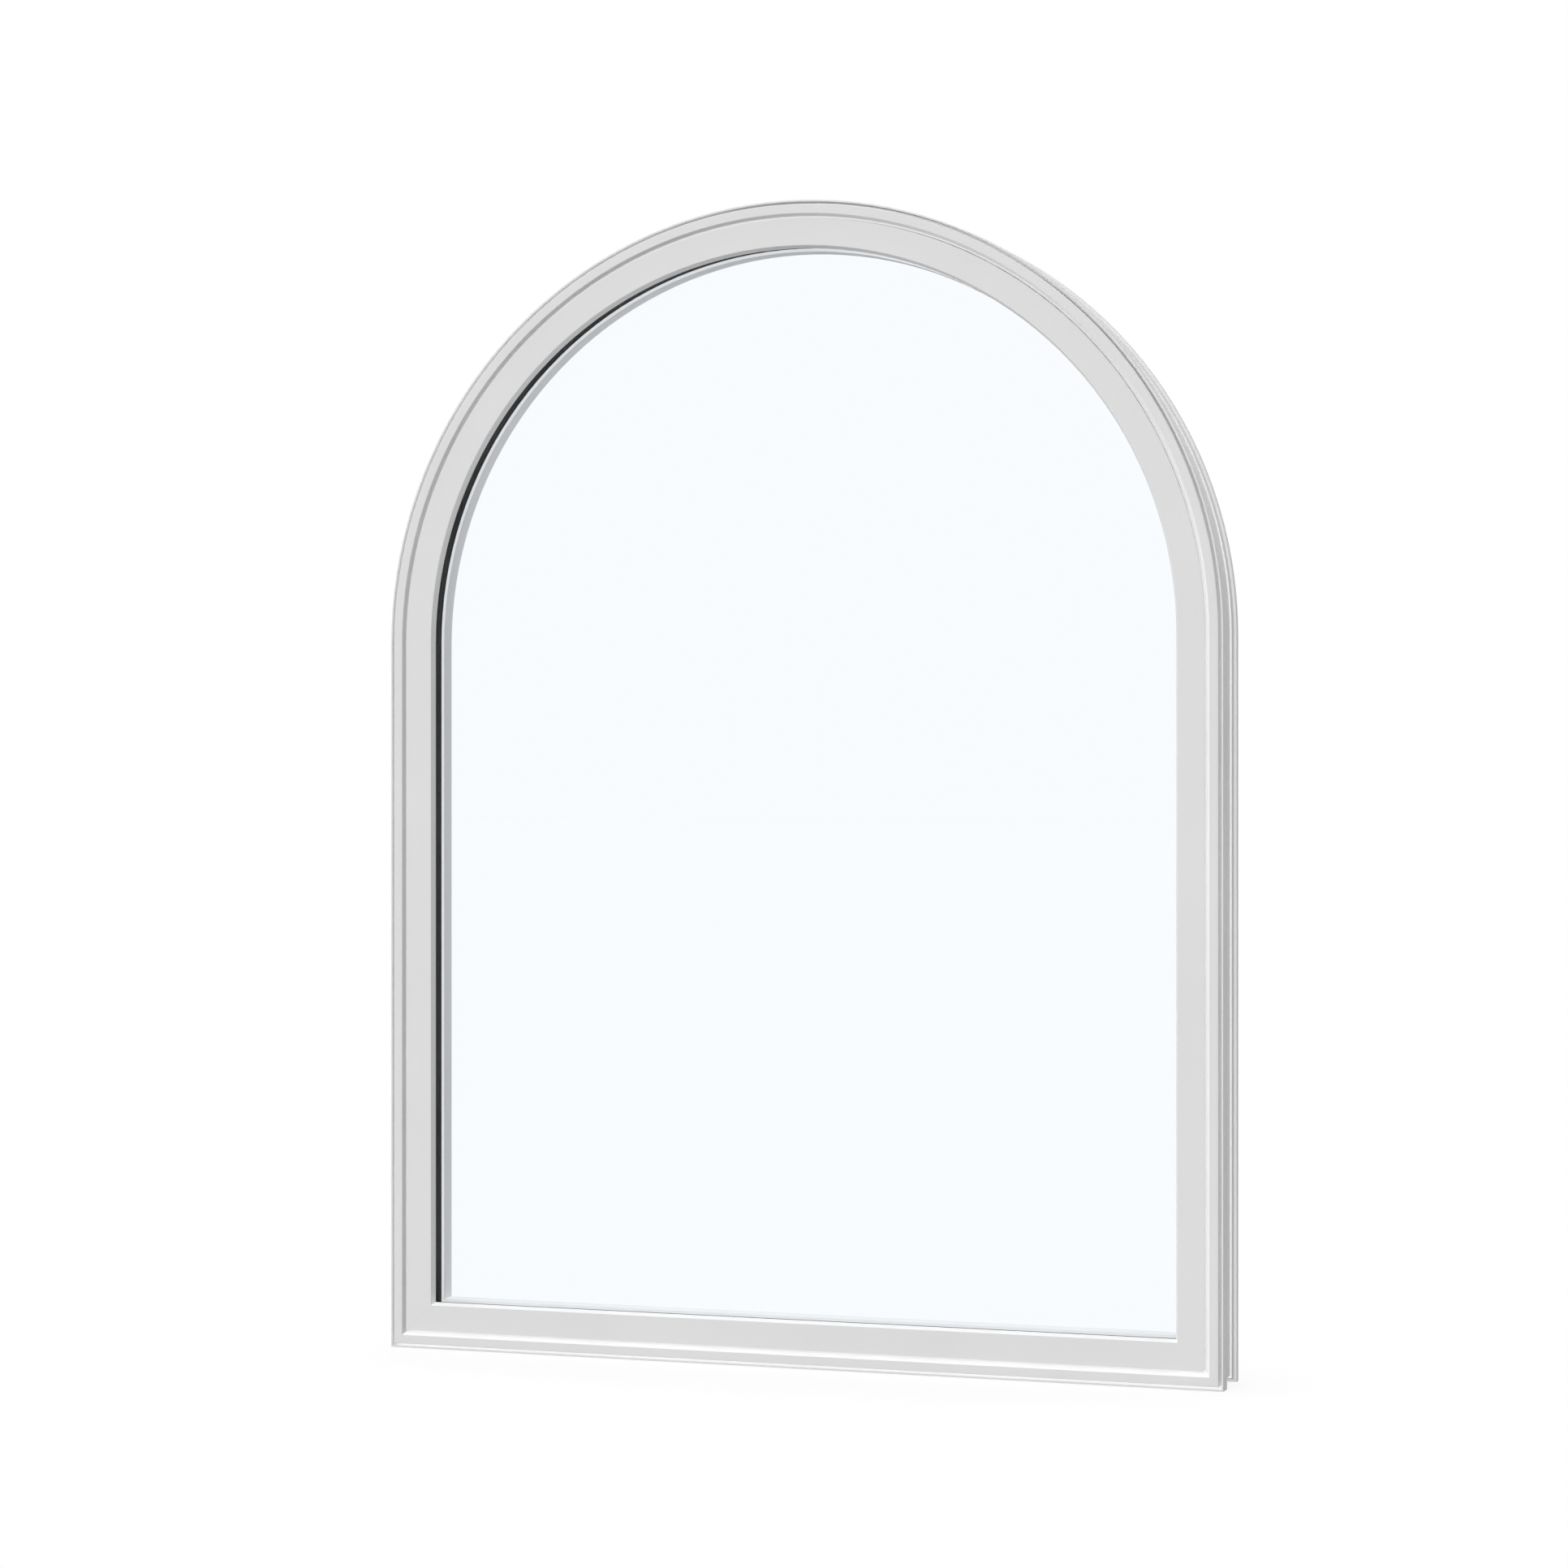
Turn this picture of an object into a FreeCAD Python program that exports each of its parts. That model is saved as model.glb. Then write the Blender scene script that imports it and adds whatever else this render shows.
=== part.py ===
# Fixed window with a semicircular head: a vinyl frame, a fixed sash and a double glazed unit.
#
# Every member is cut from one hollow extrusion. Its section is drawn as (inset, depth, chamfer)
# corners: inset runs inward from the window's outermost line, depth runs back from the front face
# of the frame. The bottom and the sides extrude the section, and the head turns it about the
# centre of the arch, so all four members of a section line up at the mitres and the springing.

import FreeCAD
import Part
import math
import os
from collections import namedtuple

# Overall sizes, in millimetres
overall_width = 1000.0
springing_height = 832.0
frame_depth = 82.0

# Walls of the extrusions
vinyl_wall = 2.0
bead_wall = 1.5

# Frame section: the lip and the groove round the front edge
lip_setback = 2.1
lip_inset = 0.2
lip_wall = 1.8
lip_step_depth = 8.0
groove_width = 3.0
groove_depth = 19.0

# Frame section: the front face and the step down to the sash
face_width = 10.5
face_chamfer = 0.5
slope_run = 2.9
slope_drop = 5.1
ledge_width = 2.2

# Frame section: the wall side and the room side
channel_inset = 7.0
flange_thickness = 8.9
barb_base = 2.0
barb_back_inset = 3.0
barb_tip_inset = 4.6
barb_reach = 4.5
leg_width = 34.0
leg_chamfer = 1.5

# Sash section
sash_clearance = 0.5
sash_setback = 2.1
sash_face_width = 30.6
sash_bevel_run = 2.6
sash_bevel_drop = 8.0
sash_bevel_chamfer = 0.4
sash_body = 14.9
sash_corner_radius = 2.5

# Glazing bead section, with the tongue that snaps into the sash
bead_depth = 21.0
bead_past_sash = 0.5
bead_taper = 0.6
bead_chamfer = 0.8
tongue_length = 3.0
tongue_thickness = 2.5
tongue_setback = 5.0
tongue_clearance = 0.2

# Double glazed unit and its seals
pane_thickness = 4.0
cavity = 12.0
spacer_height = 9.0
seal_width = 8.0
outer_seal_thickness = 1.0
outer_seal_setback = 2.1
inner_seal_thickness = 5.0
inner_seal_setback = 3.0
setting_block_thickness = 4.0
setting_block_length = 100.0
setting_block_spacing = 460.0

# Insets from the outermost line, worked inward
head_radius = overall_width / 2
groove_outer = lip_inset + lip_wall
face_outer = groove_outer + groove_width
face_inner = face_outer + face_width
slope_inner = face_inner + slope_run
rebate_line = slope_inner + ledge_width
sash_outer = rebate_line + sash_clearance
sash_face_inner = sash_outer + sash_face_width
sash_sight = sash_face_inner + sash_bevel_run
glazing_line = sash_outer + sash_body
tongue_inset = glazing_line - tongue_length
slot_inset = tongue_inset - tongue_clearance
glass_edge = glazing_line + setting_block_thickness
outer_seal_sight = sash_sight - outer_seal_setback
inner_seal_sight = sash_sight - inner_seal_setback
bead_front_edge = sash_sight + bead_past_sash
bead_rear_edge = bead_front_edge + bead_taper

# Depths behind the front face, worked back
sash_lip_back = sash_setback + sash_bevel_drop
outer_pane_front = sash_lip_back + outer_seal_thickness
spacer_front = outer_pane_front + pane_thickness
inner_pane_front = spacer_front + cavity
unit_back = inner_pane_front + pane_thickness
bead_front = unit_back + inner_seal_thickness
tongue_front = bead_front + tongue_setback
tongue_back = tongue_front + tongue_thickness
stop_depth = bead_front + bead_depth
foot_back = groove_depth + vinyl_wall
flange_front = frame_depth - flange_thickness
barb_root = flange_front - barb_base
barb_tip_depth = flange_front - barb_reach

# The origin lies on the underside of the rear flange, in the middle of the window
seat_depth = frame_depth - flange_thickness / 2

# How far the cutting prisms stand past the pieces that they trim
trim_margin = 100.0

# A section is its outer outline and the outlines of its hollow chambers
Section = namedtuple("Section", "outline chambers")


def behind_slope(top_inset, run, drop, depth, wall):
    """Inset of a chamber side one wall inside a sloping face, at a depth below its top edge."""
    return top_inset + depth * run / drop - wall * math.hypot(run, drop) / drop


def frame_section():
    """The frame: lip and groove, front face, rebate for the sash, room side leg and rear flange."""
    outline = [
        (lip_inset, lip_setback, 0),
        (groove_outer, lip_setback, 0),
        (groove_outer, groove_depth, 0),
        (face_outer, groove_depth, 0),
        (face_outer, 0, face_chamfer),
        (face_inner, 0, face_chamfer),
        (slope_inner, slope_drop, 0),
        (rebate_line, slope_drop, 0),
        (rebate_line, stop_depth, 0),
        (leg_width, stop_depth, 0),
        (leg_width, frame_depth, leg_chamfer),
        (0, frame_depth, 0),
        (0, flange_front, 0),
        (barb_back_inset, flange_front, 0),
        (barb_tip_inset, barb_tip_depth, 0),
        (channel_inset, barb_root, 0),
        (channel_inset, foot_back, 0),
        (0, foot_back, 0),
        (0, lip_step_depth, 0),
        (lip_inset, lip_step_depth, 0),
    ]
    ledge_under = slope_drop + vinyl_wall
    front_chamber = [
        (face_outer + vinyl_wall, vinyl_wall, 0),
        (behind_slope(face_inner, slope_run, slope_drop, vinyl_wall, vinyl_wall), vinyl_wall, 0),
        (behind_slope(face_inner, slope_run, slope_drop, ledge_under, vinyl_wall), ledge_under, 0),
        (rebate_line - vinyl_wall, ledge_under, 0),
        (rebate_line - vinyl_wall, groove_depth, 0),
        (face_outer + vinyl_wall, groove_depth, 0),
    ]
    wall_side = channel_inset + vinyl_wall
    room_side = leg_width - vinyl_wall
    rear_under = frame_depth - vinyl_wall
    body_chamber = rectangle(wall_side, rebate_line - vinyl_wall, foot_back, stop_depth)
    leg_chamber = rectangle(wall_side, room_side, stop_depth + vinyl_wall, flange_front)
    flange_chamber = rectangle(vinyl_wall, room_side, flange_front + vinyl_wall, rear_under)
    return Section(outline, [front_chamber, body_chamber, leg_chamber, flange_chamber])


def sash_section():
    """The sash: a wide front leg that covers the glass edge, and a slotted body behind it."""
    outline = [
        (sash_outer, sash_setback, 0),
        (sash_face_inner, sash_setback, sash_bevel_chamfer),
        (sash_sight, sash_lip_back, 0),
        (glazing_line, sash_lip_back, 0),
        (glazing_line, tongue_front - tongue_clearance, 0),
        (slot_inset, tongue_front - tongue_clearance, 0),
        (slot_inset, tongue_back + tongue_clearance, 0),
        (glazing_line, tongue_back + tongue_clearance, 0),
        (glazing_line, stop_depth, 0),
        (sash_outer, stop_depth, 0),
    ]
    wall_side = sash_outer + vinyl_wall
    front_top = sash_setback + vinyl_wall
    front_under = sash_lip_back - vinyl_wall
    bevel = (sash_face_inner, sash_bevel_run, sash_bevel_drop)
    front_chamber = [
        (wall_side, front_top, 0),
        (behind_slope(*bevel, vinyl_wall, vinyl_wall), front_top, 0),
        (behind_slope(*bevel, sash_bevel_drop - vinyl_wall, vinyl_wall), front_under, 0),
        (wall_side, front_under, 0),
    ]
    body_chamber = rectangle(wall_side, slot_inset - vinyl_wall, sash_lip_back, stop_depth - vinyl_wall)
    return Section(outline, [front_chamber, body_chamber])


def bead_section():
    """The bead that holds the glass from the room side, with its tongue in the sash's slot."""
    outline = [
        (glazing_line, bead_front, 0),
        (bead_front_edge, bead_front, 0),
        (bead_rear_edge, stop_depth, bead_chamfer),
        (glazing_line, stop_depth, 0),
        (glazing_line, tongue_back, 0),
        (tongue_inset, tongue_back, 0),
        (tongue_inset, tongue_front, 0),
        (glazing_line, tongue_front, 0),
    ]
    side = (bead_front_edge, bead_taper, bead_depth)
    chamber = [
        (glazing_line + bead_wall, bead_front + bead_wall, 0),
        (behind_slope(*side, bead_wall, bead_wall), bead_front + bead_wall, 0),
        (behind_slope(*side, bead_depth - bead_wall, bead_wall), stop_depth - bead_wall, 0),
        (glazing_line + bead_wall, stop_depth - bead_wall, 0),
    ]
    return Section(outline, [chamber])


def seal_section(sight_inset, front_depth, thickness):
    """A solid gasket strip whose inner edge lies at the given inset."""
    return Section(rectangle(sight_inset - seal_width, sight_inset, front_depth, front_depth + thickness), [])


def rectangle(inset_from, inset_to, depth_from, depth_to):
    """Outline of a plain rectangle in a section."""
    return [
        (inset_from, depth_from, 0),
        (inset_to, depth_from, 0),
        (inset_to, depth_to, 0),
        (inset_from, depth_to, 0),
    ]


def outline_face(corners, place):
    """Face inside a ring of corners, each put in space by place(inset, depth)."""
    points = []
    for index, (inset, depth, chamfer) in enumerate(corners):
        corner = place(inset, depth)
        if chamfer == 0:
            points.append(corner)
            continue
        before = place(*corners[index - 1][:2])
        after = place(*corners[(index + 1) % len(corners)][:2])
        points.append(corner + (before - corner).normalize() * chamfer)
        points.append(corner + (after - corner).normalize() * chamfer)
    return Part.Face(Part.makePolygon(points + points[:1]))


def section_face(section, place):
    """Face of a whole section, with its chambers cut out."""
    face = outline_face(section.outline, place)
    for chamber in section.chambers:
        face = face.cut(outline_face(chamber, place)).Faces[0]
    return face


def to_y(depth):
    """Depth behind the front face as a Y coordinate."""
    return depth - seat_depth


def prism(outline):
    """Block through the whole depth with an (x, z) outline, for trimming."""
    front = to_y(0) - trim_margin
    points = [FreeCAD.Vector(x, front, z) for x, z in outline]
    face = Part.Face(Part.makePolygon(points + points[:1]))
    return face.extrude(FreeCAD.Vector(0, frame_depth + 2 * trim_margin, 0))


def bottom_member(section):
    """The section run along the bottom, mitred at both corners."""
    reach = head_radius + trim_margin
    inner = head_radius - trim_margin
    face = section_face(section, lambda inset, depth: FreeCAD.Vector(-reach, to_y(depth), inset))
    bar = face.extrude(FreeCAD.Vector(2 * reach, 0, 0))
    mitres = prism([
        (-reach, -trim_margin), (reach, -trim_margin), (inner, trim_margin), (-inner, trim_margin)
    ])
    return bar.common(mitres)


def side_member(section, side):
    """The section run up one side, mitred at the foot and square at the springing line.

    side is -1 for the left and 1 for the right, seen from the front.
    """
    outer = side * (head_radius + trim_margin)
    inner = side * (head_radius - trim_margin)
    top = springing_height + trim_margin

    def place(inset, depth):
        return FreeCAD.Vector(side * (head_radius - inset), to_y(depth), -trim_margin)

    bar = section_face(section, place).extrude(FreeCAD.Vector(0, 0, top))
    mitre = prism([(outer, -trim_margin), (inner, trim_margin), (inner, top), (outer, top)])
    return bar.common(mitre)


def arch_member(section):
    """The section turned half round the centre of the arch."""
    def place(inset, depth):
        return FreeCAD.Vector(head_radius - inset, to_y(depth), springing_height)

    centre = FreeCAD.Vector(0, 0, springing_height)
    return section_face(section, place).revolve(centre, FreeCAD.Vector(0, -1, 0), 180)


def ring_of_members(section, bottom, left, right, arch):
    """The four members of one section, by node name."""
    return {
        bottom: bottom_member(section),
        left: side_member(section, -1),
        right: side_member(section, 1),
        arch: arch_member(section),
    }


def arched_sheet(inset, front_depth, thickness):
    """Sheet with the window's outline, drawn in from the outermost line by inset."""
    radius = head_radius - inset
    y = to_y(front_depth)
    left_foot = FreeCAD.Vector(-radius, y, inset)
    right_foot = FreeCAD.Vector(radius, y, inset)
    right_spring = FreeCAD.Vector(radius, y, springing_height)
    crown = FreeCAD.Vector(0, y, springing_height + radius)
    left_spring = FreeCAD.Vector(-radius, y, springing_height)
    edges = [
        Part.LineSegment(left_foot, right_foot).toShape(),
        Part.LineSegment(right_foot, right_spring).toShape(),
        Part.Arc(right_spring, crown, left_spring).toShape(),
        Part.LineSegment(left_spring, left_foot).toShape(),
    ]
    return Part.Face(Part.Wire(edges)).extrude(FreeCAD.Vector(0, thickness, 0))


def round_foot_corners(members, inset, radius):
    """Round the two outer corners at the foot of a ring whose outer wall lies at inset."""
    sheet = arched_sheet(inset, 0, frame_depth)
    corner_edges = [
        edge for edge in sheet.Edges
        if edge.BoundBox.ZMax < inset + radius and edge.BoundBox.XLength < radius
    ]
    rounded = sheet.makeFillet(radius, corner_edges)
    return {name: shape.common(rounded) for name, shape in members.items()}


def spacer_bar():
    """The bar that parts the two panes, bent round the whole unit."""
    outer = arched_sheet(outer_seal_sight - spacer_height, spacer_front, cavity)
    inner = arched_sheet(outer_seal_sight, spacer_front, cavity)
    return outer.cut(inner)


def setting_block(side):
    """One of the two blocks that carry the glass unit on the bottom rail."""
    start = (side * setting_block_spacing - setting_block_length) / 2
    unit_thickness = unit_back - outer_pane_front
    corner = FreeCAD.Vector(start, to_y(outer_pane_front), glazing_line)
    return Part.makeBox(setting_block_length, unit_thickness, setting_block_thickness, corner)


def build():
    """All nodes of the window by name."""
    outer_seal = seal_section(outer_seal_sight, sash_lip_back, outer_seal_thickness)
    inner_seal = seal_section(inner_seal_sight, unit_back, inner_seal_thickness)
    sash = ring_of_members(
        sash_section(), "sash_bottom_rail", "sash_left_stile", "sash_right_stile", "sash_arched_rail"
    )
    nodes = ring_of_members(
        frame_section(), "frame_sill", "frame_left_jamb", "frame_right_jamb", "frame_arched_head"
    )
    nodes.update(round_foot_corners(sash, sash_outer, sash_corner_radius))
    nodes.update(ring_of_members(
        bead_section(), "bead_bottom", "bead_left", "bead_right", "bead_arch"
    ))
    nodes.update(ring_of_members(
        outer_seal, "outer_gasket_bottom", "outer_gasket_left", "outer_gasket_right", "outer_gasket_arch"
    ))
    nodes.update(ring_of_members(
        inner_seal, "inner_gasket_bottom", "inner_gasket_left", "inner_gasket_right", "inner_gasket_arch"
    ))
    nodes["outer_pane"] = arched_sheet(glass_edge, outer_pane_front, pane_thickness)
    nodes["inner_pane"] = arched_sheet(glass_edge, inner_pane_front, pane_thickness)
    nodes["spacer_bar"] = spacer_bar()
    nodes["left_setting_block"] = setting_block(-1)
    nodes["right_setting_block"] = setting_block(1)
    return nodes


os.makedirs("parts", exist_ok=True)
for name, shape in build().items():
    solid, = shape.Solids
    solid.exportStep("parts/" + name + ".step")
    print(name, "valid" if solid.isValid() else "INVALID", round(solid.Volume / 1000, 1), "cm3")
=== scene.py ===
"""Looks of a fixed white vinyl window with a semicircular head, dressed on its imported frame."""
import logging
import math
from abc import ABC, abstractmethod
from collections.abc import Mapping
from dataclasses import dataclass
from enum import Enum

import bpy
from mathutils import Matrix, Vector


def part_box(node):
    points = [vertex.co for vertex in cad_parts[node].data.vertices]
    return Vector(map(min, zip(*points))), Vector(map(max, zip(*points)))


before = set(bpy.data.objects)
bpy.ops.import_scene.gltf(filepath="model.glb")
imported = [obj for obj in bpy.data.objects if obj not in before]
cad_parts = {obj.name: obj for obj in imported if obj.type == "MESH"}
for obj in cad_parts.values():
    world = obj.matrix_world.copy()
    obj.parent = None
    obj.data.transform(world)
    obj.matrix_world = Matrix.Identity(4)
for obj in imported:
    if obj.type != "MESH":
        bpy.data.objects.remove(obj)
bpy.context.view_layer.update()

log = logging.getLogger("arched_window")

MILLIMETRE = 0.001

Colour = tuple[float, float, float]
Socket = bpy.types.NodeSocket
Feed = Socket | float | tuple[float, ...]


class Slot(Enum):
    """The record's material slots."""

    FRAME = "frame_vinyl"
    SASH = "sash_vinyl"
    BEAD = "bead_vinyl"
    GASKET = "gasket_rubber"
    SPACER = "spacer_black"
    GLASS = "clear_glass"
    BLOCK = "block_plastic"


class Maths(Enum):
    """Operations of a math node."""

    ADD = "ADD"
    SUBTRACT = "SUBTRACT"
    MULTIPLY = "MULTIPLY"
    MINIMUM = "MINIMUM"
    MAXIMUM = "MAXIMUM"


class MixSocket(Enum):
    """Socket numbers of a mix node that is set to colours."""

    FACTOR = 0
    FIRST = 6
    SECOND = 7
    RESULT = 2


def opaque(colour: Colour) -> tuple[float, float, float, float]:
    """A colour with full alpha, as colour sockets take it."""
    return (*colour, 1.0)


def grey(level: float) -> Colour:
    """A colour that is the same in red, green and blue."""
    return (level, level, level)


class NodeGraph:
    """Node tree of one material or world, with short calls that add and join nodes."""

    def __init__(self, tree: bpy.types.NodeTree) -> None:
        """Empties the tree and keeps it."""
        self.tree = tree
        self.tree.nodes.clear()

    def feed(self, socket: Socket, value: Feed) -> None:
        """Joins a socket to another, or sets its constant.

        Args:
            socket: The input to feed.
            value: An output socket to join, or a constant.
        """
        if isinstance(value, Socket):
            self.tree.links.new(value, socket)
        else:
            socket.default_value = value

    def add(
        self, kind: str, inputs: Mapping[str | int, Feed] | None = None, **settings: object,
    ) -> bpy.types.Node:
        """Adds a node.

        Args:
            kind: The node's type name.
            inputs: Sockets or constants for its inputs, by input name or number.
            settings: The node's own properties.

        Returns:
            The new node.
        """
        node = self.tree.nodes.new(kind)
        for name, value in settings.items():
            setattr(node, name, value)
        for key, value in (inputs or {}).items():
            self.feed(node.inputs[key], value)
        return node

    def place(self) -> Socket:
        """The point that is shaded, in the window's own coordinates."""
        return self.add("ShaderNodeTexCoord").outputs["Object"]

    def maths(self, operation: Maths, first: Feed, second: Feed) -> Socket:
        """Output of a math node on two values.

        Args:
            operation: What the node works out.
            first: Its first value.
            second: Its second value.

        Returns:
            The result's socket.
        """
        node = self.add("ShaderNodeMath", {0: first, 1: second}, operation=operation.value)
        return node.outputs[0]

    def noise(self, vector: Socket, size: float, detail: float) -> Socket:
        """Smooth noise from 0 to 1.

        Args:
            vector: Where the noise is read.
            size: Length of one of its waves, in metres of that vector.
            detail: How many finer layers it has.

        Returns:
            The noise value's socket.
        """
        inputs = {"Vector": vector, "Scale": 1 / size, "Detail": detail}
        return self.add("ShaderNodeTexNoise", inputs).outputs["Fac"]

    def remap(
        self, value: Socket, low: float, high: float, start: float = 0.3, end: float = 0.7,
    ) -> Socket:
        """A value's range from start to end, spread from low to high.

        Args:
            value: The value to spread.
            low: Result at start.
            high: Result at end.
            start: Lower end of the range that is read, by default where noise seldom goes lower.
            end: Upper end of the range that is read, by default where noise seldom goes higher.

        Returns:
            The result's socket.
        """
        inputs = {
            "Value": value, "From Min": start, "From Max": end, "To Min": low, "To Max": high,
        }
        return self.add("ShaderNodeMapRange", inputs).outputs["Result"]

    def blend(self, factor: Socket, first: Colour, second: Colour) -> Socket:
        """A colour between two.

        Args:
            factor: 0 for the first colour and 1 for the second.
            first: The colour at 0.
            second: The colour at 1.

        Returns:
            The colour's socket.
        """
        inputs = {
            MixSocket.FACTOR.value: factor,
            MixSocket.FIRST.value: opaque(first),
            MixSocket.SECOND.value: opaque(second),
        }
        node = self.add("ShaderNodeMix", inputs, data_type="RGBA")
        return node.outputs[MixSocket.RESULT.value]

    def finish(self, surface: bpy.types.Node, output: str = "ShaderNodeOutputMaterial") -> None:
        """Joins the last shader to the tree's output.

        Args:
            surface: The node whose shader is shown.
            output: Type name of the output node.
        """
        self.add(output, {"Surface": surface.outputs[0]})


@dataclass(frozen=True)
class WindowOutline:
    """The window's outermost line: two straight sides and a half circle on them.

    Args:
        radius: Radius of the head, half of the overall width.
        springing: Height at which the head starts.
    """

    radius: float
    springing: float

    @classmethod
    def from_frame(cls) -> "WindowOutline":
        """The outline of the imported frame."""
        low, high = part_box("frame_arched_head")
        return cls(radius=(high.x - low.x) / 2, springing=low.z)

    def member_coordinates(self, graph: NodeGraph, place: Socket) -> Socket:
        """Coordinates that follow the members round the window.

        Args:
            graph: The tree that gets the nodes.
            place: The point that is shaded.

        Returns:
            A vector whose first two parts cross the member and whose third part runs along it.
        """
        x, y, z = graph.add("ShaderNodeSeparateXYZ", {0: place}).outputs
        rise = graph.maths(Maths.MAXIMUM, graph.maths(Maths.SUBTRACT, z, self.springing), 0.0)
        from_centre = graph.add("ShaderNodeCombineXYZ", {0: x, 2: rise}).outputs[0]
        length = graph.add("ShaderNodeVectorMath", {0: from_centre}, operation="LENGTH")
        side_inset = graph.maths(Maths.SUBTRACT, self.radius, length.outputs["Value"])
        inset = graph.maths(Maths.MINIMUM, side_inset, z)
        along = graph.maths(Maths.ADD, x, z)
        return graph.add("ShaderNodeCombineXYZ", {0: inset, 1: y, 2: along}).outputs[0]


@dataclass(frozen=True)
class ExtrudedFinish:
    """Finish of an extruded member: faint die lines along it, a fine skin and uneven gloss.

    Args:
        slot: The record's material slot.
        light: Colour of the paler patches.
        dark: Colour of the deeper patches.
        gloss: Lowest and highest roughness.
        line_pitch: Width of a die line.
        line_run: How many times longer than wide a die line is.
        line_detail: Finer layers in the die lines.
        skin_pitch: Size of the skin's bumps.
        skin_detail: Finer layers in the skin.
        relief: Height of the die lines and the skin.
        edge_radius: Radius at which the extrusion's edges look rounded.
        edge_rays: Rays that feel for an edge at each point.
        patch: Size of the patches of colour and gloss.
        patch_detail: Finer layers in the patches.
        patch_share: Share of the gloss that the patches set, where the die lines set the rest.
        mirror: How much the surface mirrors, where 0.5 is usual for plastic.
    """

    slot: Slot
    light: Colour
    dark: Colour
    gloss: tuple[float, float]
    line_pitch: float = 0.6 * MILLIMETRE
    line_run: float = 400.0
    line_detail: float = 2.0
    skin_pitch: float = 1.2 * MILLIMETRE
    skin_detail: float = 1.0
    relief: float = 0.01 * MILLIMETRE
    edge_radius: float = 0.3 * MILLIMETRE
    edge_rays: int = 4
    patch: float = 120 * MILLIMETRE
    patch_detail: float = 3.0
    patch_share: float = 0.6
    mirror: float = 0.3

    def surface(self, graph: NodeGraph, place: Socket, lines: Socket) -> Socket:
        """The normal of the rounded edges, with the die lines and the skin on it.

        Args:
            graph: The tree that gets the nodes.
            place: The point that is shaded.
            lines: The die lines' noise.

        Returns:
            The normal's socket.
        """
        skin = graph.noise(place, self.skin_pitch, self.skin_detail)
        edges = {"Radius": self.edge_radius}
        rounded = graph.add("ShaderNodeBevel", edges, samples=self.edge_rays)
        return graph.add("ShaderNodeBump", {
            "Strength": 1.0,
            "Distance": self.relief,
            "Height": graph.maths(Maths.ADD, lines, skin),
            "Normal": rounded.outputs[0],
        }).outputs[0]

    def material(self, outline: WindowOutline) -> bpy.types.Material:
        """Makes the material.

        Args:
            outline: The window's outline, which the die lines follow.

        Returns:
            The new material.
        """
        made = bpy.data.materials.new(self.slot.value)
        made.use_nodes = True
        graph = NodeGraph(made.node_tree)
        place = graph.place()
        member = outline.member_coordinates(graph, place)
        drawn_out = {0: member, 1: (1.0, 1.0, 1.0 / self.line_run)}
        stretched = graph.add("ShaderNodeVectorMath", drawn_out, operation="MULTIPLY").outputs[0]
        lines = graph.noise(stretched, self.line_pitch, self.line_detail)
        patches = graph.noise(place, self.patch, self.patch_detail)
        patch_part = graph.maths(Maths.MULTIPLY, patches, self.patch_share)
        line_part = graph.maths(Maths.MULTIPLY, lines, 1.0 - self.patch_share)
        unevenness = graph.maths(Maths.ADD, patch_part, line_part)
        graph.finish(graph.add("ShaderNodeBsdfPrincipled", {
            "Base Color": graph.blend(graph.remap(patches, 0.0, 1.0), self.light, self.dark),
            "Roughness": graph.remap(unevenness, *self.gloss),
            "Specular IOR Level": self.mirror,
            "Normal": self.surface(graph, place, lines),
        }))
        return made


@dataclass(frozen=True)
class GlassFinish:
    """Finish of clear float glass, which lets the lamps' light through.

    Args:
        slot: The record's material slot.
        tint: Colour that the glass gives to what is seen through it.
        index: Index of refraction.
        mirror: Colour of what it mirrors straight on, where white is bare glass.
        wave: Length of the faint waves that drawing leaves in the surface.
        relief: Height of those waves.
    """

    slot: Slot
    tint: Colour
    index: float = 1.5
    mirror: Colour = grey(0.15)
    wave: float = 250 * MILLIMETRE
    relief: float = 0.02 * MILLIMETRE

    def material(self, outline: WindowOutline) -> bpy.types.Material:
        """Makes the material.

        Args:
            outline: The window's outline; not used, as the waves don't follow it.

        Returns:
            The new material.
        """
        made = bpy.data.materials.new(self.slot.value)
        made.use_nodes = True
        graph = NodeGraph(made.node_tree)
        waves = graph.noise(graph.place(), self.wave, detail=0.0)
        bump = graph.add("ShaderNodeBump", {"Distance": self.relief, "Height": waves})
        pane = graph.add("ShaderNodeBsdfPrincipled", {
            "Base Color": opaque(self.tint),
            "Roughness": 0.0,
            "IOR": self.index,
            "Specular Tint": opaque(self.mirror),
            "Transmission Weight": 1.0,
            "Normal": bump.outputs[0],
        })
        clear = graph.add("ShaderNodeBsdfTransparent", {"Color": opaque(self.tint)})
        graph.finish(graph.add("ShaderNodeMixShader", {
            0: graph.add("ShaderNodeLightPath").outputs["Is Shadow Ray"],
            1: pane.outputs[0],
            2: clear.outputs[0],
        }))
        return made


Finish = ExtrudedFinish | GlassFinish


class SubAssembly(ABC):
    """A set of the frame's nodes that are made and dressed together."""

    @abstractmethod
    def finishes(self) -> dict[Finish, tuple[str, ...]]:
        """The set's finishes, each with the names of the nodes that have it."""

    def nodes(self) -> tuple[str, ...]:
        """The names of all nodes in the set."""
        return tuple(name for names in self.finishes().values() for name in names)

    def dress(self, outline: WindowOutline) -> None:
        """Puts its finish on every node of the set.

        Args:
            outline: The window's outline.
        """
        for finish, names in self.finishes().items():
            material = finish.material(outline)
            for name in names:
                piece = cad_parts[name]
                piece.data.materials.clear()
                piece.data.materials.append(material)
                log.info("%s: %s in %s", type(self).__name__, name, material.name)


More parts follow.
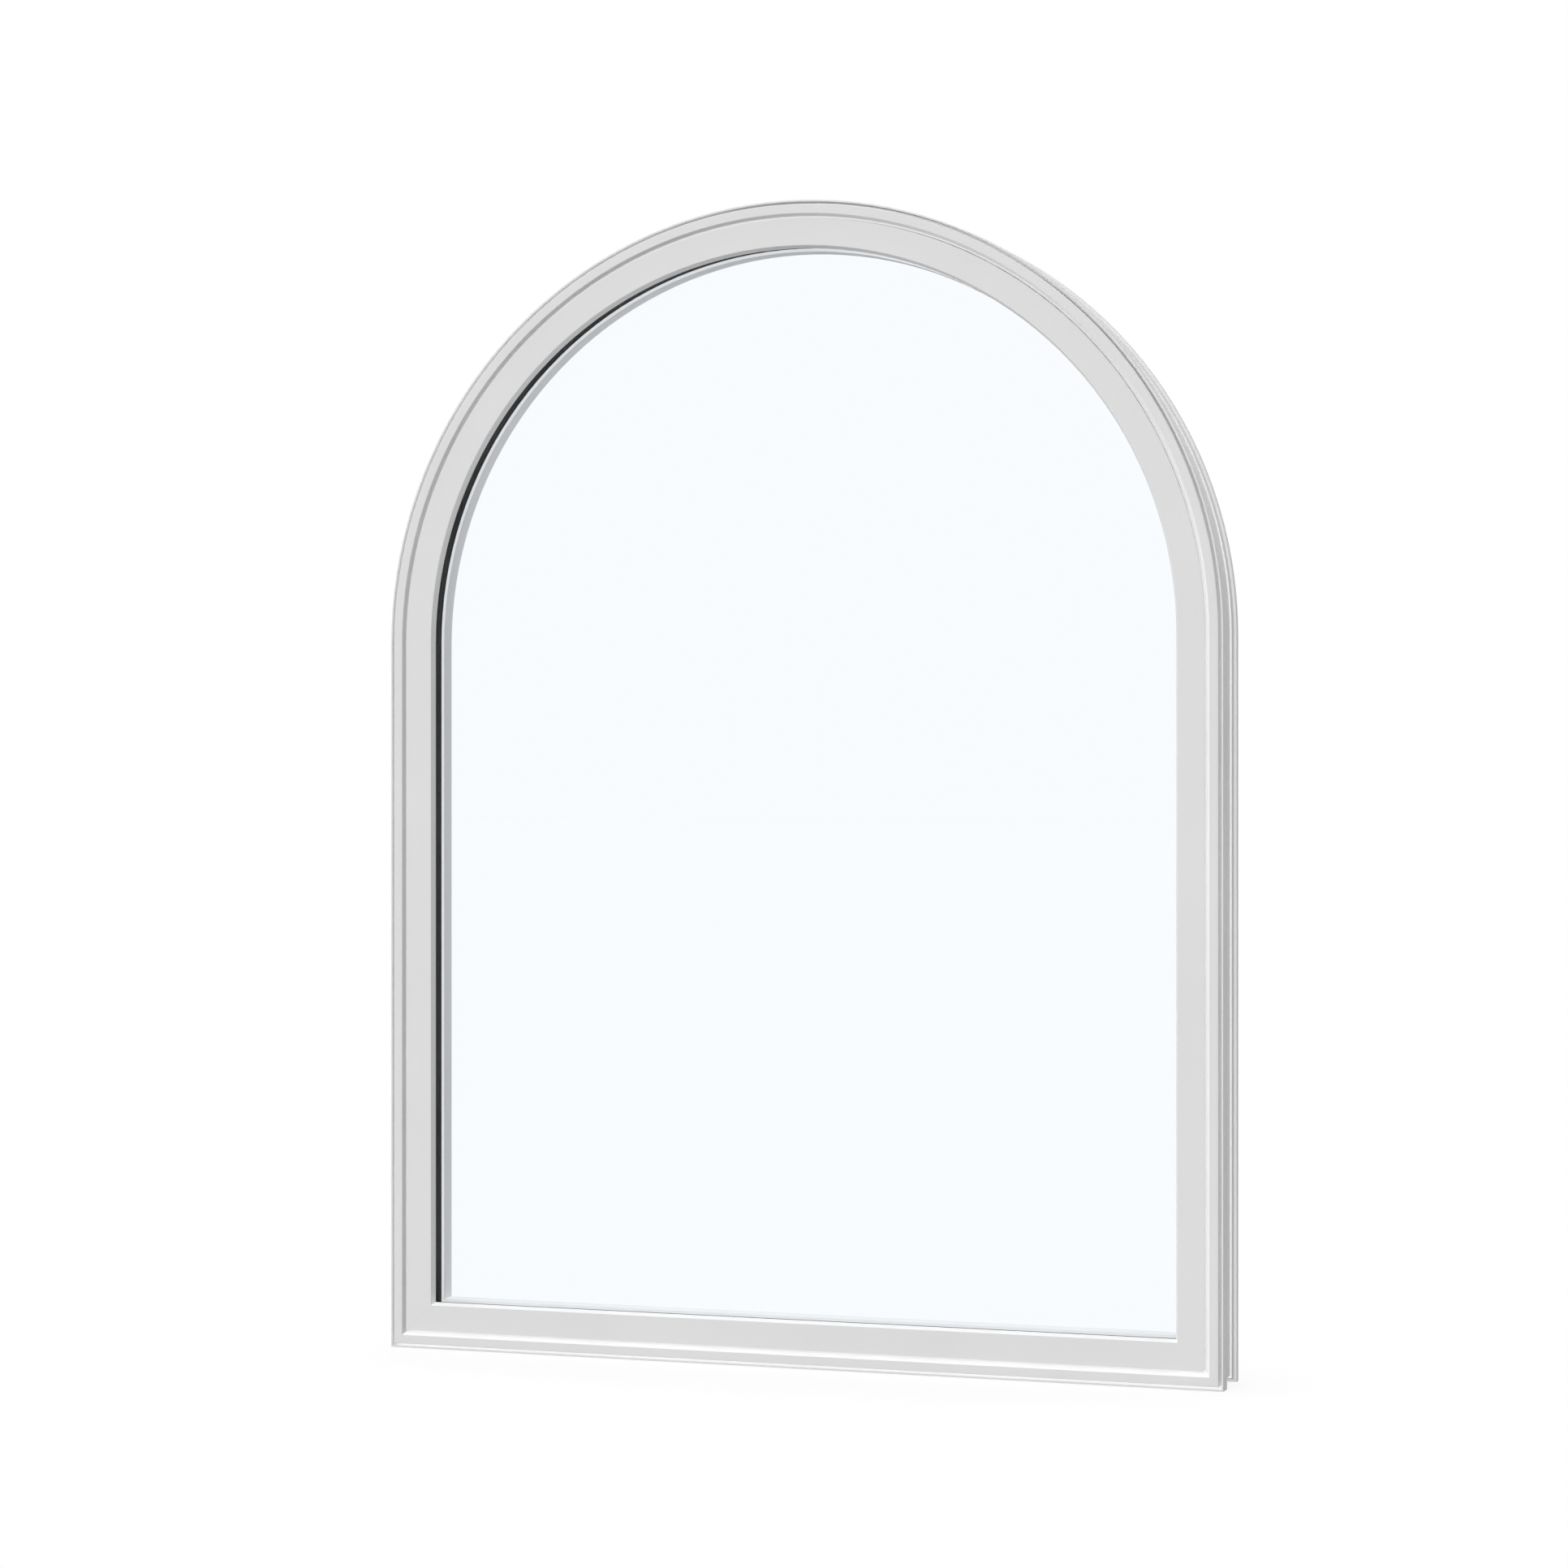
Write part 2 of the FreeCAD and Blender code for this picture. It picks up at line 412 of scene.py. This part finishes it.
def white_vinyl(slot: Slot, edge_radius: float) -> ExtrudedFinish:
    """Satin white vinyl, as it comes from the die.

    Args:
        slot: The record's material slot.
        edge_radius: Radius at which the extrusion's edges look rounded.

    Returns:
        The finish.
    """
    return ExtrudedFinish(
        slot, light=grey(0.86), dark=(0.84, 0.84, 0.838), gloss=(0.5, 0.6), edge_radius=edge_radius,
    )


@dataclass(frozen=True)
class OuterFrame(SubAssembly):
    """White vinyl frame: a sill, two jambs and the arched head.

    Args:
        edge_radius: Radius of the frame's edges.
    """

    edge_radius: float = 0.3 * MILLIMETRE

    def finishes(self) -> dict[Finish, tuple[str, ...]]:
        """White vinyl on all four members."""
        names = ("frame_sill", "frame_left_jamb", "frame_right_jamb", "frame_arched_head")
        return {white_vinyl(Slot.FRAME, self.edge_radius): names}


@dataclass(frozen=True)
class FixedSash(SubAssembly):
    """White vinyl sash, set flush in the frame: a bottom rail, two stiles and the arched rail.

    Args:
        edge_radius: Radius of the sash's edges.
    """

    edge_radius: float = 0.3 * MILLIMETRE

    def finishes(self) -> dict[Finish, tuple[str, ...]]:
        """White vinyl on all four members."""
        names = ("sash_bottom_rail", "sash_left_stile", "sash_right_stile", "sash_arched_rail")
        return {white_vinyl(Slot.SASH, self.edge_radius): names}


@dataclass(frozen=True)
class GlazingBeads(SubAssembly):
    """White vinyl beads that hold the glass from the room side.

    Args:
        edge_radius: Radius of the beads' edges.
    """

    edge_radius: float = 0.2 * MILLIMETRE

    def finishes(self) -> dict[Finish, tuple[str, ...]]:
        """White vinyl on all four beads."""
        names = ("bead_bottom", "bead_left", "bead_right", "bead_arch")
        return {white_vinyl(Slot.BEAD, self.edge_radius): names}


@dataclass(frozen=True)
class GlazingGaskets(SubAssembly):
    """Black rubber strips on both sides of the glass.

    Args:
        grain: Size of the grain in the rubber's skin.
        edge_radius: Radius of the strips' edges.
    """

    grain: float = 0.8 * MILLIMETRE
    edge_radius: float = 0.3 * MILLIMETRE

    def finishes(self) -> dict[Finish, tuple[str, ...]]:
        """Matt black rubber on all eight strips."""
        rubber = ExtrudedFinish(
            Slot.GASKET, light=grey(0.018), dark=grey(0.012), gloss=(0.65, 0.85),
            skin_pitch=self.grain, edge_radius=self.edge_radius, mirror=0.1,
        )
        layers = ("outer", "inner")
        sides = ("bottom", "left", "right", "arch")
        return {rubber: tuple(f"{layer}_gasket_{side}" for layer in layers for side in sides)}


@dataclass(frozen=True)
class GlassUnit(SubAssembly):
    """Two panes of clear float glass and the dark spacer bar between them.

    Args:
        wave: Length of the waves that drawing leaves in the panes.
        spacer_grain: Size of the grain in the spacer's skin.
    """

    wave: float = 250 * MILLIMETRE
    spacer_grain: float = 0.8 * MILLIMETRE

    def finishes(self) -> dict[Finish, tuple[str, ...]]:
        """Clear glass on the panes and matt black on the spacer."""
        spacer = ExtrudedFinish(
            Slot.SPACER, light=grey(0.03), dark=grey(0.022), gloss=(0.55, 0.7),
            skin_pitch=self.spacer_grain, mirror=0.1,
        )
        glass = GlassFinish(Slot.GLASS, tint=(0.972, 0.983, 0.996), wave=self.wave)
        return {spacer: ("spacer_bar",), glass: ("outer_pane", "inner_pane")}


@dataclass(frozen=True)
class SettingBlocks(SubAssembly):
    """Two dark plastic blocks that carry the glass.

    Args:
        grain: Size of the grain in the plastic's skin.
    """

    grain: float = 1.0 * MILLIMETRE

    def finishes(self) -> dict[Finish, tuple[str, ...]]:
        """Dark grey plastic on both blocks."""
        plastic = ExtrudedFinish(
            Slot.BLOCK, light=grey(0.2), dark=grey(0.17), gloss=(0.5, 0.65), skin_pitch=self.grain,
        )
        return {plastic: ("left_setting_block", "right_setting_block")}


@dataclass(frozen=True)
class Lamp:
    """A broad lamp that is equally strong all over the set.

    Args:
        name: The lamp's name.
        direction: Where it shines from.
        level: Its light on a surface that faces it, where 1 shows a colour as it is written.
        shadow: Whether it casts shadows.
        spread: Angle over which its shadows are softened, in degrees.
        lit: Names of the only nodes that it lights, or none for all.
    """

    name: str
    direction: tuple[float, float, float]
    level: float
    shadow: bool = True
    spread: float = 20.0
    lit: tuple[str, ...] = ()

    def build(self) -> None:
        """Adds the lamp to the scene."""
        data = bpy.data.lights.new(self.name, "SUN")
        data.energy = self.level * math.pi
        data.angle = math.radians(self.spread) if self.shadow else 0.0
        data.use_shadow = self.shadow
        lamp = bpy.data.objects.new(self.name, data)
        lamp.rotation_euler = Vector(self.direction).to_track_quat("Z", "Y").to_euler()
        lamp.visible_glossy = False
        lamp.visible_transmission = False
        if self.lit:
            group = bpy.data.collections.new(self.name)
            for name in self.lit:
                group.objects.link(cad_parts[name])
            lamp.light_linking.receiver_collection = group
        bpy.context.scene.collection.objects.link(lamp)
        log.info("studio: %s", lamp.name)


FROM_ABOVE = (0.0, 0.0, 1.0)
FROM_RIGHT = (1.0, 0.0, 0.0)
FROM_FRONT = (0.0, -1.0, 0.0)
FROM_BACK = (0.0, 1.0, 0.0)

# What single lamps light. Each set holds the one before it: lamps whose sets only overlap,
# or lie apart, leave strong grain on the pieces in them.
BEADS = GlazingBeads().nodes()
BOTTOM_AND_BEADS = ("frame_sill", "sash_bottom_rail") + BEADS
SILL_SASH_AND_BEADS = ("frame_sill",) + FixedSash().nodes() + BEADS


@dataclass(frozen=True)
class Studio:
    """White floor, soft lamps all round and the photo's camera.

    Args:
        floor_reach: Half of the floor's side.
        floor_albedo: How much light the floor gives back.
        floor_glow: White that the floor adds where it is seen, so that it meets the background.
        ambient: Level of the light from the background.
        lamps: Two keys from the left of the front, soft boxes at the other sides, and three flat
            lamps that lift the shade in the reveal: from below on the sash, from the front on the
            beads, and from above on the bottom members.
        eye: Where the camera stands.
        turn: How far the camera looks to the left of straight on, in degrees.
        lens: The camera's focal length on a sensor of the default width, in millimetres.
        view_reach: How far the camera sees, in times the floor's reach.
    """

    floor_reach: float = 60.0
    floor_albedo: float = 0.31
    floor_glow: float = 0.708
    ambient: float = 0.3
    lamps: tuple[Lamp, ...] = (
        Lamp("front_key", (-0.57, -0.77, 0.28), 0.55, shadow=False),
        Lamp("left_key", (-0.8, -0.6, 0.0), 0.3),
        Lamp("top_soft_box", FROM_ABOVE, 0.45),
        Lamp("right_soft_box", FROM_RIGHT, 0.24),
        Lamp("back_soft_box", FROM_BACK, 0.55),
        Lamp("glazing_fill", (0.65, 0.0, -0.76), 0.2, shadow=False, lit=SILL_SASH_AND_BEADS),
        Lamp("bead_lamp", FROM_FRONT, 0.32, shadow=False, lit=BEADS),
        Lamp("sill_lamp", FROM_ABOVE, 0.25, shadow=False, lit=BOTTOM_AND_BEADS),
    )
    eye: tuple[float, float, float] = (1.3294, -4.01245, 0.6663)
    turn: float = 18.77
    lens: float = 83.69
    view_reach: float = 4.0

    def seen(self, graph: NodeGraph) -> Socket:
        """1 on rays from the camera, from reflections and through glass, and 0 on all others.

        Args:
            graph: The tree that gets the nodes.

        Returns:
            The value's socket.
        """
        rays = graph.add("ShaderNodeLightPath").outputs
        past_gloss_or_glass = graph.maths(
            Maths.MAXIMUM, rays["Is Glossy Ray"], rays["Is Transmission Ray"],
        )
        return graph.maths(Maths.MAXIMUM, rays["Is Camera Ray"], past_gloss_or_glass)

    def build_floor(self) -> None:
        """Adds the floor, level with the underside of the window."""
        reach = self.floor_reach
        corners = [(-reach, -reach, 0), (reach, -reach, 0), (reach, reach, 0), (-reach, reach, 0)]
        mesh = bpy.data.meshes.new("studio_floor")
        mesh.from_pydata(corners, [], [(0, 1, 2, 3)])
        floor = bpy.data.objects.new("studio_floor", mesh)
        bpy.context.scene.collection.objects.link(floor)
        material = bpy.data.materials.new("studio_floor")
        material.use_nodes = True
        graph = NodeGraph(material.node_tree)
        matt = graph.add("ShaderNodeBsdfDiffuse", {"Color": opaque(grey(self.floor_albedo))})
        glow = graph.maths(Maths.MULTIPLY, self.seen(graph), self.floor_glow)
        white = graph.add("ShaderNodeEmission", {"Strength": glow})
        both = {0: matt.outputs[0], 1: white.outputs[0]}
        graph.finish(graph.add("ShaderNodeAddShader", both))
        mesh.materials.append(material)
        log.info("studio: %s", floor.name)

    def build_world(self) -> None:
        """Adds the background: white where it is seen, and an even light on the window."""
        world = bpy.data.worlds.new("studio_world")
        world.use_nodes = True
        graph = NodeGraph(world.node_tree)
        level = graph.remap(self.seen(graph), self.ambient, 1.0, start=0.0, end=1.0)
        sky = graph.add("ShaderNodeBackground", {"Color": opaque(grey(1.0)), "Strength": level})
        graph.finish(sky, output="ShaderNodeOutputWorld")
        bpy.context.scene.world = world
        log.info("studio: %s", world.name)

    def build_camera(self) -> None:
        """Adds the camera at the photo's angle, level and turned to the left."""
        data = bpy.data.cameras.new("photo_camera")
        data.lens = self.lens
        data.clip_end = self.view_reach * self.floor_reach
        camera = bpy.data.objects.new("photo_camera", data)
        camera.location = self.eye
        camera.rotation_euler = (math.pi / 2, 0.0, math.radians(self.turn))
        bpy.context.scene.collection.objects.link(camera)
        bpy.context.scene.camera = camera
        log.info("studio: %s", camera.name)

    def build(self) -> None:
        """Adds the whole studio."""
        self.build_floor()
        self.build_world()
        for lamp in self.lamps:
            lamp.build()
        self.build_camera()
        bpy.context.scene.view_settings.view_transform = "Standard"


def main() -> None:
    """Dresses the window and builds the studio round it."""
    logging.basicConfig(level=logging.INFO, format="%(name)s %(message)s")
    outline = WindowOutline.from_frame()
    assemblies: tuple[SubAssembly, ...] = (
        OuterFrame(), FixedSash(), GlazingBeads(), GlazingGaskets(), GlassUnit(), SettingBlocks(),
    )
    for assembly in assemblies:
        assembly.dress(outline)
    Studio().build()


if __name__ == "__main__":
    main()
